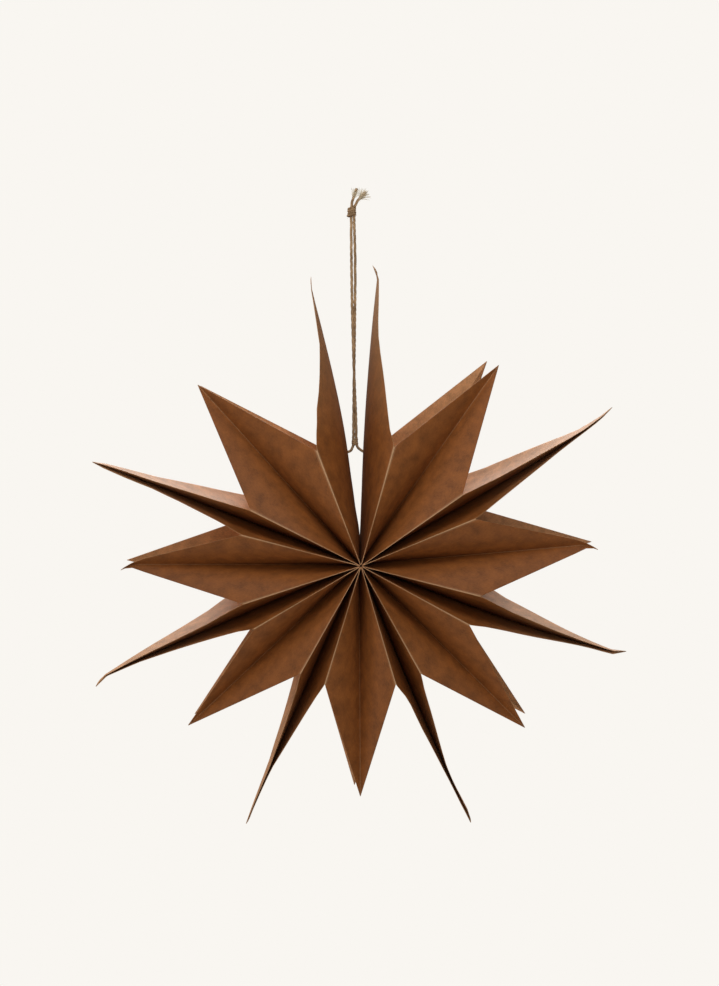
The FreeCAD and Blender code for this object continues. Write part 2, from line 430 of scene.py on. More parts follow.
@dataclass
class Panel:
    """One wide panel of a bag.

    Attributes:
        seam: the seam that its middle lies on.
        cut: reach and direction along the cut edge of the half that stands out further.
        outer: which half that is.
        fold_front: direction of its front fold edge.
        fold_back: direction of its back fold edge.
        bend: power that says how late a half bends away from the middle, up to the shoulders.
        tip_bend: the same at the spike's tip.
        turn: power that says how soon past the shoulders the one goes over into the other.
    """

    seam: Seam
    cut: list[tuple[float, float]]
    outer: Side
    fold_front: float
    fold_back: float
    bend: float = 2.4
    tip_bend: float = 1.25
    turn: float = 0.7

    def half(self, side: Side, across: np.ndarray, along: np.ndarray) -> np.ndarray:
        """Points of one half of the panel.

        Args:
            side: front or back half.
            across: distances from the middle, in millimetres.
            along: shares of the way from the axis to the cut edge.

        Returns:
            Points as rows along by columns across.
        """
        fold = self.fold_front if side is Side.FRONT else self.fold_back
        end = self.seam.tip_reach()
        cut = end - (end - SHOULDER_REACH) * across / PANEL_HALF
        reach = AXIS_GAP + (cut[None, :] - AXIS_GAP) * along[:, None]
        middle = self.seam.angle(reach)
        beyond = np.clip((reach - SHOULDER_REACH) / (end - SHOULDER_REACH), 0, 1)
        width = np.maximum(PANEL_HALF * (1 - beyond), LEAST_WIDTH)
        share = np.clip(across[None, :] / width, 0, 1)
        # Past the shoulders the outer half ends at the cut edge's stations, and the other half
        # follows it in proportion.
        outer_fold = self.fold_front if self.outer is Side.FRONT else self.fold_back
        start = float(self.seam.angle(SHOULDER_REACH))
        stations = [(SHOULDER_REACH, outer_fold)] + self.cut + [(end, float(self.seam.angle(end)))]
        swing = np.interp(reach, *zip(*stations)) - middle
        if side is not self.outer:
            swing = swing * (fold - start) / (outer_fold - start)
        swing = np.where(reach <= SHOULDER_REACH, fold - middle, swing)
        power = self.bend + (self.tip_bend - self.bend) * beyond**self.turn
        points = heading(middle + swing * share**power) * reach[..., None]
        points[..., 1] = side.value * across[None, :]
        return points


@dataclass
class Gusset:
    """The folded side between two panels, with a crease down its middle.

    Attributes:
        side: the face of the star that it is on.
        root: direction of its crease near the axis.
        tip: direction of the crease's end.
        reach: how far from the axis the crease ends, in the star's plane.
        tip_depth: how far the crease's end stands from the star's middle plane.
        bow_left: how far the left half bellies out between fold and crease.
        bow_right: the same for the right half.
        rise: power that says how soon the crease comes up from its depth at the axis.
    """

    side: Side
    root: float
    tip: float
    reach: float
    tip_depth: float = 49.0
    bow_left: float = 0.0
    bow_right: float = 0.0
    rise: float = 0.6

    def crease(self, along: np.ndarray) -> np.ndarray:
        """Points of the crease from the axis to its tip.

        Args:
            along: shares of the way.

        Returns:
            Points in millimetres from the star's centre.
        """
        reach = AXIS_GAP + (self.reach - AXIS_GAP) * along
        angle = self.root + (self.tip - self.root) * along
        points = heading(angle) * reach[:, None]
        start = PANEL_HALF - GUSSET_HALF
        points[:, 1] = self.side.value * (start + (self.tip_depth - start) * along**self.rise)
        return points


@dataclass
class TipBend:
    """A spike's or petal's tip that handling has bent.

    Attributes:
        towards: direction of the tip.
        reach: how far from the axis it ends.
        length: how much of it is bent.
        clockwise: how far its end is bent clockwise.
        back: how far its end is bent to the back.
        pinch: how far its sides have come together, as a share.
        side: the face of the star that it's on, or none for both.
        most: the share of its length past which a point is bent no further.
        pinch_start: power that says how soon its sides come together.
    """

    towards: float
    reach: float
    length: float
    clockwise: float = 0.0
    back: float = 0.0
    pinch: float = 0.0
    side: Optional[Side] = None
    most: float = 1.3
    pinch_start: float = 0.7

    def apply(self, points: np.ndarray) -> np.ndarray:
        """Moves the points that lie in the bent tip.

        Args:
            points: a sheet's points.

        Returns:
            The points with this tip bent, by the square of their share of its length.
        """
        out = heading(self.towards)
        across = heading(self.towards + 90)
        along = points @ out
        aside = points @ across
        share = np.clip((along - self.reach + self.length) / self.length, 0, self.most)
        share = np.where(np.abs(aside) < self.length, share, 0.0)
        if self.side is not None:
            share = np.where(points[..., 1] * self.side.value > PETAL_DEPTH, share, 0.0)
        eased = (share**2)[..., None]
        closing = np.minimum(share, 1) ** self.pinch_start * self.pinch * aside
        moved = points + eased * (self.clockwise * across + np.array([0.0, self.back, 0.0]))
        return moved - closing[..., None] * across


@dataclass
class Bag:
    """One gusseted bag, a single folded sheet.

    Attributes:
        name: the CAD node that it stands for.
        left: its left panel as seen from outside the star, towards smaller directions.
        right: its right panel.
        front: its front gusset.
        back: its back gusset.
        rows: rows of points from the axis to the cut edge.
        row_spread: power below one that sets the rows a little closer towards the cut edge.
        fold_width: how far from a fold its broken skin shows, on the panel's side.
        fold_width_inside: the same on the gusset's side.
        crease_width: the same at the crease.
        crease_wear: how much the crease's skin is broken, against a fold's.
        tip_sheen: how much the panels are painted paler towards the spikes' tips, a painted sheen.
        tip_sheen_start: reach at which the painted sheen begins.
        tip_sheen_length: reach over which it grows.
        panel_steps: distances of its columns from a panel's middle, closer near the fold.
        gusset_steps: distances of its columns from the fold, closer near fold and crease.
    """

    name: str
    left: Panel
    right: Panel
    front: Gusset
    back: Gusset
    rows: int = 84
    row_spread: float = 0.92
    fold_width: float = 0.6
    fold_width_inside: float = 0.52
    crease_width: float = 0.55
    crease_wear: float = 0.3
    tip_sheen: float = 0.5
    tip_sheen_start: float = 100.0
    tip_sheen_length: float = 115.0
    panel_steps: tuple[float, ...] = (
        0, 5, 9, 14, 20, 26, 32, 38, 44, 50, 55, 59, 62, 63.5, 64.4, 64.8, PANEL_HALF
    )
    gusset_steps: tuple[float, ...] = (
        0.2, 0.6, 1.5, 3, 6, 10, 15, 20, 25, 30, 35, 39, 41.5, 42.4, 42.8, GUSSET_HALF
    )

    def gusset_half(
        self, gusset: Gusset, fold: np.ndarray, steps: np.ndarray, along: np.ndarray, bow: float
    ) -> np.ndarray:
        """Points between a fold line and the crease.

        Args:
            gusset: the gusset.
            fold: points of the fold line.
            steps: distances from the fold, in millimetres.
            along: shares of the way from the axis to the cut.
            bow: how far the half bellies out.

        Returns:
            Points as rows along by columns across.
        """
        crease = gusset.crease(along)
        share = steps / GUSSET_HALF
        points = fold[:, None] * (1 - share)[None, :, None] + crease[:, None] * share[None, :, None]
        plane = unit(np.cross(crease[-1] - fold[0], fold[-1] - crease[0]))
        if plane[1] * gusset.side.value < 0:
            plane = -plane
        # The belly is fullest half way across, and a little nearer the axis than the cut.
        belly = np.sin(np.pi * share)[None, :] * np.sin(np.pi * along**0.8)[:, None]
        return points + belly[..., None] * plane * bow

    def grid(self) -> tuple[np.ndarray, np.ndarray, np.ndarray]:
        """The sheet as a closed grid.

        Returns:
            Points as rows from the axis to the cut by columns round the mouth, then each
            column's distance round the sheet and each point's paling: the broken skin of folds
            and crease, and the painted sheen towards the spikes' tips.
        """
        along = np.linspace(0, 1, self.rows) ** self.row_spread
        panel = np.array(self.panel_steps)
        gusset = np.array(self.gusset_steps)

        def panel_wear(steps: np.ndarray) -> np.ndarray:
            """Wear of a panel's columns by their distance from the fold."""
            return np.exp(-(((PANEL_HALF - steps) / self.fold_width) ** 2))

        def gusset_wear(steps: np.ndarray) -> np.ndarray:
            """Wear of a gusset's columns by their distance from the fold and the crease.

            Args:
                steps: the columns' distances from the fold.

            Returns:
                Each column's wear.
            """
            near_fold = np.exp(-((steps / self.fold_width_inside) ** 2))
            near_crease = np.exp(-(((GUSSET_HALF - steps) / self.crease_width) ** 2))
            return near_fold + self.crease_wear * near_crease

        left_front = self.left.half(Side.FRONT, panel, along)
        left_back = self.left.half(Side.BACK, panel, along)
        right_front = self.right.half(Side.FRONT, panel, along)
        right_back = self.right.half(Side.BACK, panel, along)
        halves = [
            (self.back, left_back, self.back.bow_left),
            (self.back, right_back, self.back.bow_right),
            (self.front, right_front, self.front.bow_right),
            (self.front, left_front, self.front.bow_left),
        ]
        folded = [
            self.gusset_half(which, half[:, -1], gusset, along, bow) for which, half, bow in halves
        ]
        # Round the mouth: left panel, back gusset, right panel, front gusset. Each block of
        # columns comes with its wear and with whether it lies on a panel.
        blocks = [
            (left_front[:, ::-1], panel_wear(panel[::-1]), True),
            (left_back[:, 1:], panel_wear(panel[1:]), True),
            (folded[0], gusset_wear(gusset), False),
            (folded[1][:, -2::-1], gusset_wear(gusset[-2::-1]), False),
            (right_back[:, ::-1], panel_wear(panel[::-1]), True),
            (right_front[:, 1:], panel_wear(panel[1:]), True),
            (folded[2], gusset_wear(gusset), False),
            (folded[3][:, -2::-1], gusset_wear(gusset[-2::-1]), False),
        ]
        points = np.concatenate([block for block, _, _ in blocks], axis=1)
        paling = np.concatenate([broken for _, broken, _ in blocks])
        wide = np.concatenate([np.full(len(broken), on_panel) for _, broken, on_panel in blocks])
        for bend in TIP_BENDS:
            points = bend.apply(points)
        middle = len(points) // 2
        gaps = np.linalg.norm(np.diff(points[middle], axis=0), axis=1)
        reach = np.linalg.norm(points[..., [0, 2]], axis=-1)
        # Painted sheen: the panels are painted paler towards the spikes' tips, for the pale grazing
        # light on them.
        painted_sheen = self.tip_sheen * np.clip((reach - self.tip_sheen_start) / self.tip_sheen_length, 0, 1) * wide
        wear_and_sheen = np.maximum(paling[None, :], painted_sheen)
        return points, np.concatenate([[0], np.cumsum(gaps)]), wear_and_sheen

    def build(self, materials: list[bpy.types.Material]) -> bpy.types.Object:
        """Makes the sheet with both its sides and its cut edge.

        Args:
            materials: outer side, inner side and cut edge.

        Returns:
            The object.
        """
        outer, round_sheet, paling = self.grid()
        rows, columns = outer.shape[:2]
        across = np.roll(outer, -1, 1) - np.roll(outer, 1, 1)
        out = np.gradient(outer, axis=0)
        normals = unit(np.cross(across, out))
        centre = outer.mean(axis=(0, 1))
        if np.sum((outer[rows // 2] - centre) * normals[rows // 2]) < 0:
            normals = -normals
        inner = outer - normals * PAPER_GAUGE
        verts = np.concatenate([outer.reshape(-1, 3), inner.reshape(-1, 3)])
        shift = rows * columns
        faces, kinds = [], []

        def add(corners: tuple[int, ...], kind: int) -> None:
            """Keeps a face, given by the numbers of its corners, and its material's number."""
            faces.append(corners)
            kinds.append(kind)

        for row in range(rows - 1):
            for column in range(columns):
                after = (column + 1) % columns
                a, b = row * columns + column, row * columns + after
                c, d = b + columns, a + columns
                add((a, d, c, b), 0)
                add((a + shift, b + shift, c + shift, d + shift), 1)
        last = (rows - 1) * columns
        for column in range(columns):
            after = (column + 1) % columns
            add((last + column, last + column + shift, last + after + shift, last + after), 2)
        add(tuple(range(columns)), 0)
        add(tuple(shift + column for column in reversed(range(columns))), 1)

        obj = mesh_object(self.name + "_sheet", verts, faces=faces, materials=materials)
        mesh = obj.data
        mesh.polygons.foreach_set("material_index", kinds)
        mesh.polygons.foreach_set("use_smooth", [kind != 2 for kind in kinds])
        self.mark(mesh, outer, round_sheet, paling)
        return obj

    def mark(
        self, mesh: bpy.types.Mesh, outer: np.ndarray, round_sheet: np.ndarray, paling: np.ndarray
    ) -> None:
        """Gives the mesh the flat sheet's coordinates, and its broken skin and painted sheen.

        Args:
            mesh: the sheet's mesh, with its outer side's points before its inner side's.
            outer: the outer side's points.
            round_sheet: distance of each column round the sheet.
            paling: broken skin and painted sheen of each outer point.
        """
        reach = np.linalg.norm(outer[..., [0, 2]], axis=-1)
        flat = np.stack([np.broadcast_to(round_sheet, reach.shape), reach], axis=-1) * MM
        flat = np.concatenate([flat.reshape(-1, 2)] * 2)
        corners = np.zeros(len(mesh.loops), np.int32)
        mesh.loops.foreach_get("vertex_index", corners)
        layer = mesh.uv_layers.new(name="sheet")
        layer.data.foreach_set("uv", flat[corners].astype(np.float32).ravel())
        # Broken skin at folds and crease, and painted sheen towards the spikes' tips.
        attribute = mesh.attributes.new("fold_wear", "FLOAT", "POINT")
        attribute.data.foreach_set("value", np.tile(paling.reshape(-1), 2).astype(np.float32))


# The seams from the right end panel clockwise to the left end panel. Reach is in millimetres
# and direction in degrees, as they are seen in the photograph.
SEAMS = [
    Seam(
        [
            (0, 4.5), (19, 4.4), (40, 3.1), (67, 2.6), (94, 2.5),
            (124, 2.68), (156, 3.0), (188, 3.35), (232, 3.9),
        ],
        after=[
            (108, 11.6), (124, 9.4), (140, 7.7), (156, 6.2),
            (172, 4.9), (188, 4.45), (204, 4.3), (220, 4.1),
        ],
    ),
    Seam(
        [(0, 61.3), (94, 61.3), (150, 60.8), (187, 60.1), (204, 59.7), (220, 59.3), (233, 58.85)],
        before=[
            (108, 52.1), (124, 54.5), (140, 55.8), (156, 56.9),
            (172, 57.8), (188, 58.7), (204, 59.3),
        ],
        after=[
            (116, 64.9), (132, 63.4), (148, 62.3), (164, 61.4),
            (180, 60.6), (196, 60.1), (212, 59.7),
        ],
    ),
    Seam(
        [(0, 111.2), (94, 111.2), (150, 110.7), (193, 109.7), (222, 109.15)],
        before=[
            (108, 102.1), (124, 104.8), (140, 106.2), (156, 107.4),
            (172, 108.3), (188, 108.9), (208, 109.2),
        ],
        after=[
            (108, 115.8), (124, 114.2), (140, 113.0), (156, 111.9),
            (172, 111.0), (188, 110.3), (212, 109.9),
        ],
    ),
    Seam(
        [(0, 157.6), (94, 157.6), (144, 157.2), (186, 156.9), (212, 156.55), (223, 156.2)],
        before=[
            (108, 151.6), (124, 153.2), (140, 154.7), (156, 155.9),
            (172, 156.7), (188, 156.7), (212, 156.2),
        ],
        after=[
            (108, 160.5), (116, 160.0), (132, 159.4), (148, 158.6),
            (164, 158.0), (188, 157.3), (212, 156.9),
        ],
    ),
    Seam(
        [(0, 203.3), (94, 203.3), (148, 203.4), (187, 203.45), (223, 203.0)],
        before=[
            (108, 199.2), (124, 200.6), (140, 201.7), (156, 202.5),
            (172, 203.2), (188, 203.3), (212, 203.2),
        ],
        after=[
            (108, 207.5), (124, 206.1), (140, 205.0), (156, 204.4),
            (172, 203.8), (188, 203.6), (212, 203.4),
        ],
    ),
    Seam(
        [
            (0, 246.0), (94, 246.0), (158, 246.15), (190, 246.2),
            (204, 246.0), (220, 245.9), (227, 245.7),
        ],
        before=[
            (108, 241.4), (124, 243.0), (140, 244.2), (156, 245.0),
            (172, 245.5), (188, 245.9), (212, 245.8),
        ],
        after=[
            (108, 253.5), (124, 251.0), (140, 249.6), (156, 248.6),
            (172, 247.9), (188, 247.2), (212, 246.2),
        ],
    ),
    Seam(
        [(0, 290.7), (94, 290.7), (163, 290.9), (201, 290.9), (222, 290.7)],
        before=[
            (104, 286.3), (116, 287.6), (132, 288.6), (148, 289.4),
            (172, 290.1), (188, 290.1), (212, 290.4),
        ],
        after=[
            (108, 298.8), (124, 296.7), (140, 295.1), (156, 293.8),
            (172, 292.7), (188, 292.1), (212, 291.3),
        ],
    ),
    Seam(
        [
            (0, 363.4), (19, 363.0), (40, 356.9), (67, 355.1), (80, 354.7), (94, 354.3),
            (108, 353.85), (140, 352.6), (172, 351.5), (204, 350.6), (226, 350.2),
        ],
        before=[
            (108, 341.8), (116, 343.4), (124, 344.4), (140, 347.2),
            (156, 348.7), (172, 349.8), (204, 350.2),
        ],
    ),
]

# For each bag: fold directions front left, front right, back left and back right; the crease's
# direction at the root, then its front tip and back tip as direction and reach; then how far
# the front gusset's left and right halves belly out.
BAG_SHAPES = {
    "bag_upper_right": (15.5, 55.2, 12.3, 49.5, 34.4, (34.7, 186.8), (33.4, 189.4), (0.4, 0.6)),
    "bag_right": (67.6, 104.4, 62.0, 99.0, 85.2, (84.9, 183.0), (85.8, 188.7), (0.4, 0.6)),
    "bag_lower_right": (118.5, 151.0, 117.5, 148.8, 134.2, (134.7, 178.4), (132.5, 183.3), (0.4, 0.6)),
    "bag_bottom": (163.5, 197.1, 162.5, 197.5, 180.2, (180.0, 178.0), (180.5, 180.6), (0.4, 0.4)),
    "bag_lower_left": (209.3, 239.7, 209.9, 238.3, 227.1, (227.1, 180.5), (226.3, 178.5), (0.6, 0.4)),
    "bag_left": (252.1, 284.7, 255.9, 290.0, 270.2, (270.3, 183.5), (269.9, 182.9), (0.6, 0.4)),
    "bag_upper_left": (296.7, 339.1, 301.5, 342.3, 318.2, (318.0, 186.2), (318.1, 185.9), (0.4, 0.9)),
}

# The tips that handling has bent: seven spikes, then the front petals of the right and the
# left bag.
TIP_BENDS = [
    TipBend(3.9, 232.0, 8.0, clockwise=-4.6),
    TipBend(58.9, 233.0, 8.0, clockwise=-1.0),
    TipBend(109.0, 220.0, 9.0, clockwise=-1.8),
    TipBend(156.4, 223.0, 6.0, clockwise=1.6),
    TipBend(203.1, 223.0, 6.0, clockwise=0.8),
    TipBend(245.4, 226.0, 9.0, clockwise=-3.4),
    TipBend(350.2, 226.0, 8.0, clockwise=1.5),
    TipBend(84.9, 183.0, 13.0, clockwise=4.6, back=-3.0, pinch=0.6, side=Side.FRONT),
    TipBend(270.3, 183.5, 13.0, clockwise=-4.4, back=-3.0, pinch=0.6, side=Side.FRONT),
]


def make_bags() -> list[Bag]:
    """Makes the seven bags from the seams and the bags' shapes.

    Returns:
        The bags, clockwise from the upper right.
    """
    bags = []
    for index, (name, shape) in enumerate(BAG_SHAPES.items()):
        front_left, front_right, back_left, back_right, root, front_tip, back_tip, bows = shape
        before, after = SEAMS[index], SEAMS[index + 1]
        left_outer = Side.FRONT if front_left > back_left else Side.BACK
        right_outer = Side.FRONT if front_right < back_right else Side.BACK
        left = Panel(before, before.after, left_outer, front_left, back_left)
        right = Panel(after, after.before, right_outer, front_right, back_right)
        front = Gusset(Side.FRONT, root, *front_tip, bow_left=bows[0], bow_right=bows[1])
        back = Gusset(Side.BACK, root, *back_tip)
        bags.append(Bag(name, left, right, front, back))
    return bags


# Route of each string from inside its hole to its frayed end, from the star's centre.
ROUTE_LEFT = [
    (-12.0, 0.0, 85.6),
    (-6.8, 0.0, 86.1),
    (-4.0, 0.0, 90.0),
    (-3.8, 0.2, 98.0),
    (-3.7, 0.8, 113.0),
    (-3.4, 1.2, 142.0),
    (-2.7, 0.8, 190.0),
    (-2.3, 0.2, 233.0),
    (-3.0, -0.1, 258.0),
    (-3.3, -0.2, 268.0),
    (-3.2, -0.2, 277.0),
    (-0.3, -0.3, 283.4),
    (5.9, -0.4, 289.0),
]
ROUTE_RIGHT = [
    (9.1, 0.0, 85.8),
    (3.9, 0.0, 86.1),
    (-1.3, 0.0, 90.2),
    (-1.6, -0.2, 97.0),
    (-1.8, -0.8, 112.0),
    (-3.2, -1.2, 142.0),
    (-4.7, -0.8, 190.0),
    (-5.4, -0.2, 233.0),
    (-5.6, 0.1, 258.0),
    (-5.5, 0.2, 268.0),
    (-5.6, 0.2, 277.0),
    (-4.4, 0.4, 284.0),
    (-1.1, 0.5, 292.0),
]


def spline_points(route: Sequence[tuple[float, float, float]], steps: int = 12) -> np.ndarray:
    """Points along the smooth line through a route's control points.

    Args:
        route: control points in millimetres from the star's centre.
        steps: points for each control point.

    Returns:
        Points in millimetres from the star's centre.
    """
    curve = bpy.data.curves.new("route", "CURVE")
    curve.dimensions = "3D"
    curve.resolution_u = steps
    spline = curve.splines.new("NURBS")
    spline.points.add(len(route) - 1)
    for point, place in zip(spline.points, route):
        point.co = (*place, 1.0)
    spline.order_u = 3
    spline.use_endpoint_u = True
    holder = bpy.data.objects.new("route", curve)
    bpy.context.scene.collection.objects.link(holder)
    bpy.context.view_layer.update()
    evaluated = holder.evaluated_get(bpy.context.evaluated_depsgraph_get())
    mesh = bpy.data.meshes.new_from_object(evaluated)
    points = np.array([v.co for v in mesh.vertices], float)
    bpy.data.objects.remove(holder)
    bpy.data.curves.remove(curve)
    bpy.data.meshes.remove(mesh)
    return points


class NodeGroup:
    """A Geometry Nodes group with named inputs, laid over a mesh and baked into it."""

    def __init__(self, name: str, inputs: dict[str, tuple[str, Any]]) -> None:
        """Starts the group.

        Args:
            name: the group's name.
            inputs: for each input its socket type and its usual value.
        """
        self.tree = bpy.data.node_groups.new(name, "GeometryNodeTree")
        face = self.tree.interface
        face.new_socket("Geometry", in_out="INPUT", socket_type="NodeSocketGeometry")
        self.sockets = {}
        for key, (kind, value) in inputs.items():
            socket = face.new_socket(key, in_out="INPUT", socket_type=kind)
            if value is not None:
                socket.default_value = value
            self.sockets[key] = socket.identifier
        face.new_socket("Geometry", in_out="OUTPUT", socket_type="NodeSocketGeometry")
        self.given = self.tree.nodes.new("NodeGroupInput").outputs
        self.end = self.tree.nodes.new("NodeGroupOutput")

    def finish(self, geometry: bpy.types.NodeSocket) -> None:
        """Ends the group with real, finished geometry.

        Args:
            geometry: what the group has made.
        """
        real = add_node(self.tree, "GeometryNodeRealizeInstances", {"Geometry": geometry})
        painted = add_node(
            self.tree,
            "GeometryNodeSetMaterial",
            {"Geometry": real.outputs[0], "Material": self.given["Material"]},
        )
        self.tree.links.new(painted.outputs[0], self.end.inputs[0])

    def bake(self, obj: bpy.types.Object, values: dict[str, Any]) -> bpy.types.Mesh:
        """Evaluates the group over an object.

        Args:
            obj: the object that it starts from.
            values: value for each input that differs from its usual one.

        Returns:
            The mesh that it makes.
        """
        layer = obj.modifiers.new(self.tree.name, "NODES")
        layer.node_group = self.tree
        for key, value in values.items():
            layer[self.sockets[key]] = value
        bpy.context.view_layer.update()
        graph = bpy.context.evaluated_depsgraph_get()
        mesh = bpy.data.meshes.new_from_object(
            obj.evaluated_get(graph), preserve_all_data_layers=True, depsgraph=graph
        )
        obj.modifiers.remove(layer)
        return mesh


def plies_group() -> NodeGroup:
    """Lays twisted plies along a line of edges, with their lay kept as an attribute.

    Returns:
        The group.
    """
    group = NodeGroup(
        "twine_plies",
        {
            "Gauge": ("NodeSocketFloat", TWINE_GAUGE * MM),
            "Pitch": ("NodeSocketFloat", TWINE_PITCH * MM),
            "Opened": ("NodeSocketFloat", 0.999),
            "Seed": ("NodeSocketFloat", 0.0),
            "Material": ("NodeSocketMaterial", None),
        },
    )
    tree, given = group.tree, group.given
    line = add_node(tree, "GeometryNodeMeshToCurve", {"Mesh": given["Geometry"]})
    even = add_node(
        tree,
        "GeometryNodeResampleCurve",
        {"Curve": line.outputs[0], "Length": PLY_STEP * MM},
        mode="LENGTH",
    )
    plies = add_node(
        tree,
        "GeometryNodeDuplicateElements",
        {"Geometry": even.outputs[0], "Amount": PLIES},
        domain="SPLINE",
    )
    length = add_node(tree, "GeometryNodeSplineParameter").outputs["Length"]
    turns = add_node(tree, "ShaderNodeMath", {0: length, 1: given["Pitch"]}, operation="DIVIDE")
    # The twist is uneven: tighter and looser by a third, over a few turns.
    along = add_node(
        tree,
        "ShaderNodeMath",
        {0: turns.outputs[0], 1: 0.35, 2: given["Seed"]},
        operation="MULTIPLY_ADD",
    )
    uneven = add_node(
        tree,
        "ShaderNodeTexNoise",
        {"W": along.outputs[0], "Scale": 1.0, "Detail": 1.0},
        noise_dimensions="1D",
    )
    twist = add_node(
        tree,
        "ShaderNodeMath",
        {0: uneven.outputs[0], 1: 1.6, 2: turns.outputs[0]},
        operation="MULTIPLY_ADD",
    )
    share = add_node(
        tree,
        "ShaderNodeMath",
        {0: plies.outputs["Duplicate Index"], 1: float(PLIES)},
        operation="DIVIDE",
    )
    turned = add_node(
        tree, "ShaderNodeMath", {0: twist.outputs[0], 1: share.outputs[0]}, operation="ADD"
    )
    angle = add_node(
        tree, "ShaderNodeMath", {0: turned.outputs[0], 1: 2 * math.pi}, operation="MULTIPLY"
    )
    cosine = add_node(tree, "ShaderNodeMath", {0: angle.outputs[0]}, operation="COSINE")
    sine = add_node(tree, "ShaderNodeMath", {0: angle.outputs[0]}, operation="SINE")
    normal = add_node(tree, "GeometryNodeInputNormal").outputs[0]
    tangent = add_node(tree, "GeometryNodeInputTangent").outputs[0]
    side = add_node(
        tree, "ShaderNodeVectorMath", {0: tangent, 1: normal}, operation="CROSS_PRODUCT"
    )
    first = add_node(
        tree, "ShaderNodeVectorMath", {0: normal, "Scale": cosine.outputs[0]}, operation="SCALE"
    )
    second = add_node(
        tree,
        "ShaderNodeVectorMath",
        {0: side.outputs[0], "Scale": sine.outputs[0]},
        operation="SCALE",
    )
    around = add_node(tree, "ShaderNodeVectorMath", {0: first.outputs[0], 1: second.outputs[0]})
    out = add_node(tree, "ShaderNodeMath", {0: given["Gauge"], 1: PLY_OFFSET}, operation="MULTIPLY")
    offset = add_node(
        tree,
        "ShaderNodeVectorMath",
        {0: around.outputs[0], "Scale": out.outputs[0]},
        operation="SCALE",
    )
    # Each ply is thicker and thinner along its length, in lengths of about 2.4 mm.
    own = add_node(tree, "ShaderNodeMath", {0: share.outputs[0], 1: 37.0}, operation="MULTIPLY")
    run_along = add_node(
        tree, "ShaderNodeMath", {0: length, 1: 420.0, 2: own.outputs[0]}, operation="MULTIPLY_ADD"
    )
    swell = add_node(
        tree,
        "ShaderNodeTexNoise",
        {"W": run_along.outputs[0], "Scale": 1.0, "Detail": 2.0},
        noise_dimensions="1D",
    )
    plump = add_node(
        tree, "ShaderNodeMath", {0: swell.outputs[0], 1: 0.5, 2: 0.75}, operation="MULTIPLY_ADD"
    )
    # The twine thins where its end has opened.
    factor = add_node(tree, "GeometryNodeSplineParameter").outputs["Factor"]
    thinned = add_node(
        tree, "ShaderNodeMapRange", {0: factor, 1: given["Opened"], 2: 1.0, 3: 1.0, 4: 0.35}
    )
    size = add_node(
        tree, "ShaderNodeMath", {0: plump.outputs[0], 1: thinned.outputs[0]}, operation="MULTIPLY"
    )
    held = add_node(tree, "GeometryNodeCaptureAttribute", {"Geometry": plies.outputs[0]})
    held.capture_items.new("FLOAT", "length")
    held.capture_items.new("FLOAT", "size")
    tree.links.new(length, held.inputs[1])
    tree.links.new(size.outputs[0], held.inputs[2])
    moved = add_node(
        tree,
        "GeometryNodeSetPosition",
        {"Geometry": held.outputs[0], "Offset": offset.outputs[0]},
    )
    radius = add_node(
        tree, "ShaderNodeMath", {0: given["Gauge"], 1: PLY_RADIUS}, operation="MULTIPLY"
    )
    ring = add_node(
        tree,
        "GeometryNodeCurvePrimitiveCircle",
        {"Resolution": 10, "Radius": radius.outputs[0]},
        mode="RADIUS",
    )
    place = add_node(tree, "GeometryNodeInputPosition").outputs[0]
    rim = add_node(tree, "GeometryNodeCaptureAttribute", {"Geometry": ring.outputs[0]})
    rim.capture_items.new("VECTOR", "rim")
    tree.links.new(place, rim.inputs[1])
    sized = add_node(
        tree, "GeometryNodeSetCurveRadius", {"Curve": moved.outputs[0], "Radius": held.outputs[2]}
    )
    tube = add_node(
        tree,
        "GeometryNodeCurveToMesh",
        {"Curve": sized.outputs[0], "Profile Curve": rim.outputs[0], "Fill Caps": True},
    )
    # The lay is the place round the ply and, much shortened, the place along it, so that a
    # noise read there is drawn out into fibres.
    drawn = add_node(
        tree, "ShaderNodeMath", {0: held.outputs[1], 1: FIBRE_DRAW}, operation="MULTIPLY"
    )
    run = add_node(tree, "ShaderNodeCombineXYZ", {"Z": drawn.outputs[0]})
    lay = add_node(tree, "ShaderNodeVectorMath", {0: rim.outputs[1], 1: run.outputs[0]})
    named = add_node(
        tree,
        "GeometryNodeStoreNamedAttribute",
        {"Geometry": tube.outputs[0], "Name": "lay", "Value": lay.outputs[0]},
        data_type="FLOAT_VECTOR",
        domain="POINT",
    )
    smooth = add_node(tree, "GeometryNodeSetShadeSmooth", {0: named.outputs[0]})
    group.finish(smooth.outputs[0])
    return group


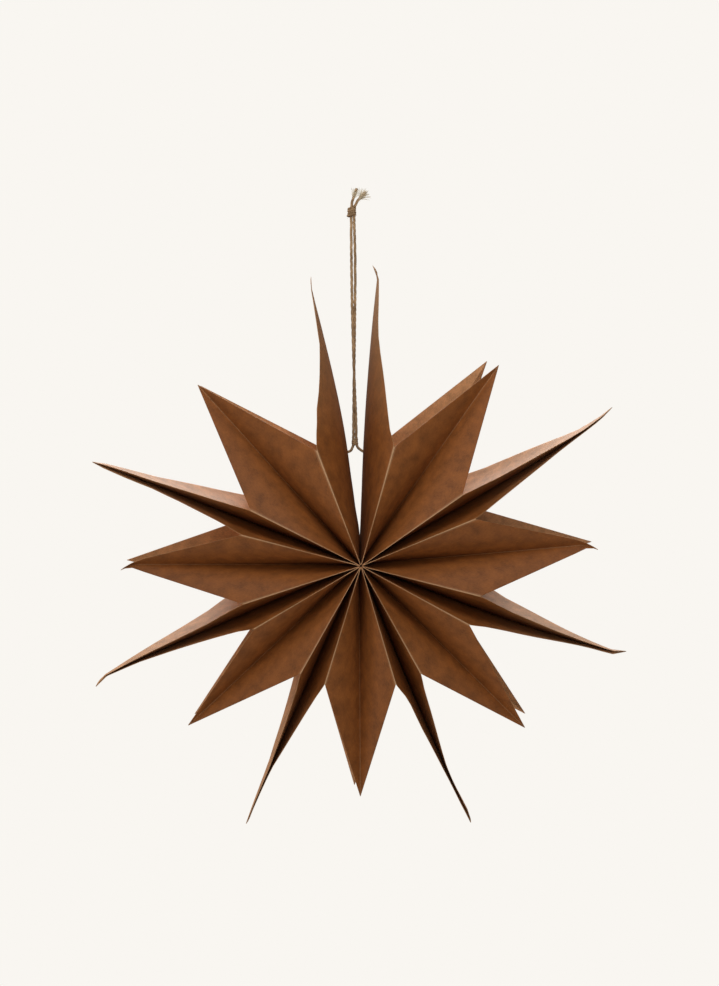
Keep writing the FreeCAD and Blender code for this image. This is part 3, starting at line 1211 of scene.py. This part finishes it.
def fibres_group() -> NodeGroup:
    """Strews bent, tapered fibres over a surface, pointing away from it.

    Returns:
        The group.
    """
    group = NodeGroup(
        "loose_fibres",
        {
            "Density": ("NodeSocketFloat", 60000.0),
            "Length": ("NodeSocketFloat", 1.5 * MM),
            "Spread": ("NodeSocketFloat", 0.9),
            "Thickness": ("NodeSocketFloat", 0.06 * MM),
            "Seed": ("NodeSocketInt", 0),
            "Material": ("NodeSocketMaterial", None),
        },
    )
    tree, given = group.tree, group.given
    spots = add_node(
        tree,
        "GeometryNodeDistributePointsOnFaces",
        {"Mesh": given["Geometry"], "Density": given["Density"], "Seed": given["Seed"]},
    )
    # One fibre of length one, which the instances scale.
    bent = add_node(
        tree,
        "GeometryNodeCurveQuadraticBezier",
        {"Resolution": 6, "Start": (0, 0, 0), "Middle": (0.02, 0, 0.55), "End": (0.34, 0.1, 1)},
    )
    along = add_node(tree, "GeometryNodeSplineParameter").outputs["Factor"]
    taper = add_node(tree, "ShaderNodeMath", {0: along, 1: -0.7, 2: 1.0}, operation="MULTIPLY_ADD")
    tapered = add_node(
        tree, "GeometryNodeSetCurveRadius", {"Curve": bent.outputs[0], "Radius": taper.outputs[0]}
    )
    thin = add_node(
        tree, "ShaderNodeMath", {0: given["Thickness"], 1: given["Length"]}, operation="DIVIDE"
    )
    ring = add_node(
        tree,
        "GeometryNodeCurvePrimitiveCircle",
        {"Resolution": 4, "Radius": thin.outputs[0]},
        mode="RADIUS",
    )
    fibre = add_node(
        tree,
        "GeometryNodeCurveToMesh",
        {"Curve": tapered.outputs[0], "Profile Curve": ring.outputs[0], "Fill Caps": True},
    )
    least = add_node(tree, "ShaderNodeMath", {0: given["Spread"], 1: -1.0}, operation="MULTIPLY")
    lowest = add_node(
        tree, "ShaderNodeCombineXYZ", {0: least.outputs[0], 1: least.outputs[0], 2: -math.pi}
    )
    highest = add_node(
        tree, "ShaderNodeCombineXYZ", {0: given["Spread"], 1: given["Spread"], 2: math.pi}
    )
    lean = add_node(
        tree,
        "FunctionNodeRandomValue",
        {0: lowest.outputs[0], 1: highest.outputs[0], "Seed": given["Seed"]},
        data_type="FLOAT_VECTOR",
    )
    turned = add_node(
        tree,
        "FunctionNodeRotateRotation",
        {"Rotation": spots.outputs["Rotation"], "Rotate By": lean.outputs[0]},
        rotation_space="LOCAL",
    )
    scale = add_node(tree, "FunctionNodeRandomValue", {2: 0.45, 3: 1.1, "Seed": given["Seed"]})
    reach = add_node(
        tree, "ShaderNodeMath", {0: scale.outputs[1], 1: given["Length"]}, operation="MULTIPLY"
    )
    strewn = add_node(
        tree,
        "GeometryNodeInstanceOnPoints",
        {
            "Points": spots.outputs["Points"],
            "Instance": fibre.outputs[0],
            "Rotation": turned.outputs[0],
            "Scale": reach.outputs[0],
        },
    )
    group.finish(strewn.outputs[0])
    return group


@dataclass
class Fraying:
    """How a piece of twine sheds its fibres.

    Attributes:
        hairs: loose hairs for each square metre of its surface.
        hair_length: their length in millimetres.
        tuft: fibres at the opened end.
        tuft_length: their length in millimetres.
        tuft_spread: how far they fan out, in radians.
    """

    hairs: float = 45000.0
    hair_length: float = 1.6
    tuft: int = 0
    tuft_length: float = 5.0
    tuft_spread: float = 0.6


@dataclass
class Twine:
    """A length of plied twine along a path, with its loose fibres.

    Attributes:
        name: the piece's name.
        path: points in millimetres from the star's centre.
        fraying: its loose fibres.
        gauge: its thickness in millimetres.
        pitch: length of one turn of its plies.
        seed: fixes its unevenness.
    """

    name: str
    path: np.ndarray
    fraying: Fraying = field(default_factory=Fraying)
    gauge: float = TWINE_GAUGE
    pitch: float = TWINE_PITCH
    seed: int = 1

    def tuft_base(self) -> bpy.types.Object:
        """Makes a small disc at the twine's end, square to it, for its open fibres.

        Returns:
            The disc, which the fibres are strewn over.
        """
        ahead = unit(self.path[-1] - self.path[-8])
        side = unit(np.cross(ahead, [0.0, 1.0, 0.1]))
        up = np.cross(ahead, side)
        spin = np.linspace(0, 2 * np.pi, 8, endpoint=False)[:, None]
        rim = self.path[-9] + self.gauge * 0.4 * (np.cos(spin) * side + np.sin(spin) * up)
        faces = [tuple(range(8))]
        normal = np.cross(rim[1] - rim[0], rim[2] - rim[1])
        if np.dot(normal, ahead) < 0:
            faces = [tuple(reversed(faces[0]))]
        return mesh_object(self.name + "_end", rim, faces=faces)

    def build(
        self,
        plies: NodeGroup,
        fibres: NodeGroup,
        jute: bpy.types.Material,
        open_jute: bpy.types.Material,
    ) -> tuple[bpy.types.Object, bpy.types.Object]:
        """Makes the twine.

        Args:
            plies: the group that lays its plies.
            fibres: the group that strews its loose fibres.
            jute: the handled twine's material.
            open_jute: the open fibres' material.

        Returns:
            The twine, and its loose fibres as an object of their own.
        """
        line = mesh_object(
            self.name, self.path, edges=[(i, i + 1) for i in range(len(self.path) - 1)]
        )
        body = plies.bake(
            line,
            {
                "Gauge": self.gauge * MM,
                "Pitch": self.pitch * MM,
                "Opened": 0.965 if self.fraying.tuft else 0.999,
                "Seed": self.seed * 3.7,
                "Material": jute,
            },
        )
        line.data = body
        hairs = fibres.bake(
            line,
            {
                "Density": self.fraying.hairs,
                "Length": self.fraying.hair_length * MM,
                "Spread": 1.25,
                "Thickness": 0.035 * MM,
                "Seed": self.seed,
                "Material": jute,
            },
        )
        pieces = [bpy.data.objects.new(self.name + "_fibres", hairs)]
        if self.fraying.tuft:
            base = self.tuft_base()
            area = math.pi * (self.gauge * 0.4 * MM) ** 2 * 0.9
            tuft = fibres.bake(
                base,
                {
                    "Density": self.fraying.tuft / area,
                    "Length": self.fraying.tuft_length * MM,
                    "Spread": self.fraying.tuft_spread,
                    "Thickness": 0.07 * MM,
                    "Seed": self.seed + 5,
                    "Material": open_jute,
                },
            )
            pieces.append(bpy.data.objects.new(self.name + "_tuft", tuft))
            bpy.data.objects.remove(base)
        return line, joined(pieces)


def joined(pieces: list[bpy.types.Object]) -> bpy.types.Object:
    """Makes one object of several that lie at the origin.

    Args:
        pieces: the objects, which are used up.

    Returns:
        The first object, with all of them in it.
    """
    collection = bpy.context.scene.collection
    for piece in pieces:
        collection.objects.link(piece)
    if len(pieces) == 1:
        return pieces[0]
    with bpy.context.temp_override(
        active_object=pieces[0], object=pieces[0], selected_objects=pieces,
        selected_editable_objects=pieces,
    ):
        bpy.ops.object.join()
    return pieces[0]


class Winding(Enum):
    """Which way a knot is wound, as the order of the frame's axes."""

    ROUND_UPRIGHT = (0, 1, 2)
    ROUND_LEVEL = (2, 1, 0)


@dataclass
class Knot:
    """Twine wound into a knot, in the place of its CAD solid.

    Attributes:
        name: the piece's name.
        node: the CAD node that it stands for.
        centre: middle of the winding, from the star's centre.
        turns: number of turns.
        radius: from the middle to the twine's centre line.
        rise: length from the first turn to the last.
        tilt: how far each turn leans.
        gauge: thickness of the twine, pulled tight.
        winding: which way it is wound.
        wander_seed: fixes how its turns wander.
        twine_seed: fixes its twine's unevenness.
        wander: how far the turns wander from the radius.
        steps: points for each turn.
    """

    name: str
    node: str
    centre: tuple[float, float, float]
    turns: float
    radius: float
    rise: float
    tilt: float
    gauge: float
    winding: Winding
    wander_seed: int
    twine_seed: int
    wander: float = 0.22
    steps: int = 28

    def path(self) -> np.ndarray:
        """Points along the winding.

        Returns:
            Points in millimetres from the star's centre.
        """
        rng = np.random.default_rng(self.wander_seed)
        share = np.linspace(0, 1, int(self.turns * self.steps))
        angle = 2 * np.pi * self.turns * share + rng.uniform(0, 6)
        wander = np.interp(share, np.linspace(0, 1, 9), rng.normal(0, self.wander, 9))
        size = self.radius + wander
        height = self.rise * (share - 0.5) + self.tilt * np.cos(angle) + 0.2 * np.sin(2 * angle)
        upright = np.stack([size * np.cos(angle), size * np.sin(angle), height], axis=-1)
        return upright[:, list(self.winding.value)] + np.array(self.centre)

    def twine(self) -> Twine:
        """The twine that it is wound of."""
        return Twine(self.name, self.path(), gauge=self.gauge, seed=self.twine_seed)


@dataclass
class HangingString:
    """A string from its hole in an end panel to its frayed end.

    Attributes:
        name: the piece's name.
        node: the CAD node that it stands for.
        route: its control points.
        fraying: its loose fibres and its tuft.
        seed: fixes its unevenness.
    """

    name: str
    node: str
    route: list[tuple[float, float, float]]
    fraying: Fraying
    seed: int

    def declare(self, piece: bpy.types.Object, path: np.ndarray) -> float:
        """Measures the string's length.

        Args:
            piece: the string's twine; not used.
            path: points along it, in millimetres from the star's centre.

        Returns:
            Its length in metres.
        """
        places = (path + STAR_CENTRE) * MM
        length = float(np.linalg.norm(np.diff(places, axis=0), axis=1).sum())
        return length


LEFT_STRING = HangingString(
    "left_twine",
    "string_left",
    ROUTE_LEFT,
    Fraying(tuft=150, tuft_length=9.5, tuft_spread=0.42),
    3,
)
RIGHT_STRING = HangingString(
    "right_twine",
    "string_right",
    ROUTE_RIGHT,
    Fraying(tuft=110, tuft_length=8.0, tuft_spread=0.36),
    8,
)

TOP_KNOT = Knot(
    "top_knot_winding", "top_knot", (-5.2, 0.0, 274.0), turns=4.4, radius=2.7, rise=7.4, tilt=0.7,
    gauge=1.8, winding=Winding.ROUND_UPRIGHT, wander_seed=4, twine_seed=21,
)
LOWER_KNOT = Knot(
    "lower_knot_winding", "lower_knot", (-2.7, 0.0, 94.0), turns=4.2, radius=1.9, rise=5.4, tilt=0.4,
    gauge=1.3, winding=Winding.ROUND_UPRIGHT, wander_seed=9, twine_seed=22,
)
# The stopper knots lie inside the two end bags, against their panels.
LEFT_STOPPER = Knot(
    "left_stopper_winding", "stopper_knot_left", (-11.4, 0.0, 85.7), turns=2.3, radius=2.1, rise=2.0,
    tilt=0.2, gauge=1.8, winding=Winding.ROUND_LEVEL, wander_seed=5, twine_seed=23,
)
RIGHT_STOPPER = Knot(
    "right_stopper_winding", "stopper_knot_right", (7.9, 0.0, 85.9), turns=2.3, radius=2.1, rise=2.0,
    tilt=0.2, gauge=1.8, winding=Winding.ROUND_LEVEL, wander_seed=6, twine_seed=24,
)


@dataclass
class PaperStar:
    """The seven bags, glued side by side.

    Attributes:
        finish: the bags' paper.
    """

    finish: KraftPaper = field(default_factory=KraftPaper)

    def dress(self) -> None:
        """Makes the bags' sheets in the place of their CAD solids."""
        paper = self.finish.materials()
        for bag in make_bags():
            sheet = bag.build(paper)
            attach(sheet, "root")
            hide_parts(bag.name)
            log.info("%s: %d faces", sheet.name, len(sheet.data.polygons))


@dataclass
class Hanger:
    """The two strings with their frayed ends, and the four knots.

    Attributes:
        finish: the twine's jute.
        strings: the two strings.
        knots: the knots in them.
    """

    finish: JuteTwine = field(default_factory=JuteTwine)
    strings: tuple[HangingString, ...] = (LEFT_STRING, RIGHT_STRING)
    knots: tuple[Knot, ...] = (TOP_KNOT, LOWER_KNOT, LEFT_STOPPER, RIGHT_STOPPER)

    def dress(self) -> None:
        """Makes the strings and knots in the place of their CAD solids."""
        jute, open_jute = self.finish.twine(), self.finish.frayed()
        plies, fibres = plies_group(), fibres_group()
        for string in self.strings:
            path = spline_points(string.route)
            twine = Twine(string.name, path, string.fraying, seed=string.seed)
            laid, loose = twine.build(plies, fibres, jute, open_jute)
            self.place(laid, loose, string.node)
            length = string.declare(laid, path)
            log.info("%s: %.4f m, %d faces", laid.name, length, len(laid.data.polygons))
        for knot in self.knots:
            laid, loose = knot.twine().build(plies, fibres, jute, open_jute)
            self.place(laid, loose, knot.node)
            log.info("%s: %d faces", laid.name, len(laid.data.polygons))

    def place(self, laid: bpy.types.Object, loose: bpy.types.Object, node: str) -> None:
        """Puts twine and its loose fibres on the body.

        Args:
            laid: the twine.
            loose: its loose fibres.
            node: the CAD node that the twine stands for.
        """
        for piece in (laid, loose):
            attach(piece, "root")
        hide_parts(node)


@dataclass
class Studio:
    """Plain soft light, a pale floor under the star and the camera.

    Attributes:
        background: colour of the backdrop.
        floor_colour: colour of the floor.
        floor_drop: how far the floor lies below the star's centre, in metres.
        fill: colour of the soft light.
        camera_place: where the camera stands, in metres.
        camera_pitch: how far it looks down, in degrees.
        camera_yaw: how far it is turned from straight to the back, in degrees.
        walls: soft light from each side: the frame's axis, its sign and the light's strength.
        lamps: name, place from the star's centre and size in metres, and power in watts.
    """

    background: str = "#F9F6F1"
    floor_colour: str = "#EFEBE4"
    floor_drop: float = 1.0
    fill: str = "#FFFAF4"
    camera_place: tuple[float, float, float] = (-0.0740, -2.4960, -0.1482)
    camera_pitch: float = 1.460
    camera_yaw: float = -1.820
    walls: dict[str, tuple[int, float, float]] = field(
        default_factory=lambda: {"left_wall": (0, -1.0, 1.05), "ceiling": (2, 1.0, 0.12)}
    )
    lamps: list[tuple[str, tuple[float, float, float], float, float]] = field(
        default_factory=lambda: [
            ("top_back", (0.0, 1.6, 1.5), 1.4, 44.0),
            ("front", (0.2, -3.0, 0.3), 1.0, 18.5),
            ("near_right", (0.7, -0.7, 0.7), 0.6, 1.3),
            ("near_top", (-0.02, -0.4, 0.48), 0.25, 0.85),
        ]
    )

    def camera(self) -> None:
        """Sets the camera at the photograph's viewing angle."""
        data = bpy.data.cameras.new("camera")
        data.lens = FOCAL_PIXELS / FRAME_PIXELS * SENSOR
        data.sensor_width = SENSOR
        data.clip_start, data.clip_end = 0.05, 50
        camera = bpy.data.objects.new("camera", data)
        camera.location = self.camera_place
        camera.rotation_euler = (
            math.radians(90 - self.camera_pitch), 0, math.radians(self.camera_yaw)
        )
        bpy.context.scene.collection.objects.link(camera)
        bpy.context.scene.camera = camera

    def lamp(
        self, name: str, place: tuple[float, float, float], size: float, power: float
    ) -> None:
        """A square soft lamp that faces the star.

        Args:
            name: its name.
            place: where it stands, from the star's centre, in metres.
            size: its side in metres.
            power: its power in watts.
        """
        data = bpy.data.lights.new(name, "AREA")
        data.shape = "SQUARE"
        data.size = size
        data.energy = power
        lamp = bpy.data.objects.new(name, data)
        centre = Vector(STAR_CENTRE * MM)
        lamp.location = centre + Vector(place)
        lamp.rotation_euler = (centre - lamp.location).to_track_quat("-Z", "Y").to_euler()
        bpy.context.scene.collection.objects.link(lamp)
        lamp.visible_camera = False

    def world(self) -> None:
        """A pale backdrop for the camera, and soft light from each side for the rest."""
        world = bpy.data.worlds.new("studio")
        bpy.context.scene.world = world
        world.use_nodes = True
        tree = world.node_tree
        tree.nodes.clear()
        rays = add_node(tree, "ShaderNodeLightPath")
        seen = add_node(
            tree,
            "ShaderNodeMath",
            {0: rays.outputs["Is Camera Ray"], 1: rays.outputs["Is Transmission Ray"]},
            operation="MAXIMUM",
        )
        shown = add_node(
            tree, "ShaderNodeBackground", {"Color": linear(self.background), "Strength": 1.0}
        )
        way = add_node(tree, "ShaderNodeTexCoord")
        axes = add_node(tree, "ShaderNodeSeparateXYZ", {0: way.outputs["Generated"]})
        total: Any = 0.0
        for name, (axis, sign, strength) in self.walls.items():
            facing = add_node(
                tree, "ShaderNodeMath", {0: axes.outputs[axis], 1: sign}, operation="MULTIPLY"
            )
            above = add_node(
                tree, "ShaderNodeMath", {0: facing.outputs[0], 1: 0.0}, operation="MAXIMUM"
            )
            soft = add_node(
                tree, "ShaderNodeMath", {0: above.outputs[0], 1: 2.0}, operation="POWER"
            )
            wall = add_node(
                tree,
                "ShaderNodeMath",
                {0: soft.outputs[0], 1: strength, 2: total},
                operation="MULTIPLY_ADD",
                name=name,
            )
            total = wall.outputs[0]
        fill = add_node(
            tree, "ShaderNodeBackground", {"Color": linear(self.fill), "Strength": total}
        )
        both = add_node(
            tree,
            "ShaderNodeMixShader",
            {0: seen.outputs[0], 1: fill.outputs[0], 2: shown.outputs[0]},
        )
        add_node(tree, "ShaderNodeOutputWorld", {"Surface": both.outputs[0]})

    def floor(self) -> None:
        """A pale floor below the hanging star."""
        material = bpy.data.materials.new("pale_floor")
        material.use_nodes = True
        skin = material.node_tree.nodes["Principled BSDF"]
        skin.inputs["Base Color"].default_value = linear(self.floor_colour)
        skin.inputs["Roughness"].default_value = 0.8
        mesh = bpy.data.meshes.new("floor")
        z = STAR_CENTRE[2] * MM - self.floor_drop
        mesh.from_pydata([(-2, -2, z), (2, -2, z), (2, 1.2, z), (-2, 1.2, z)], [], [(0, 1, 2, 3)])
        mesh.materials.append(material)
        floor = bpy.data.objects.new("floor", mesh)
        bpy.context.scene.collection.objects.link(floor)

    def build(self) -> None:
        """Sets up everything round the star."""
        bpy.context.scene.view_settings.view_transform = "Standard"
        self.camera()
        self.world()
        self.floor()
        for lamp in self.lamps:
            self.lamp(*lamp)


def main() -> None:
    """Builds the studio, then the star's looks around its CAD solids."""
    logging.basicConfig(level=logging.INFO, format="%(message)s")
    Studio().build()
    PaperStar().dress()
    Hanger().dress()


if __name__ == "__main__":
    main()
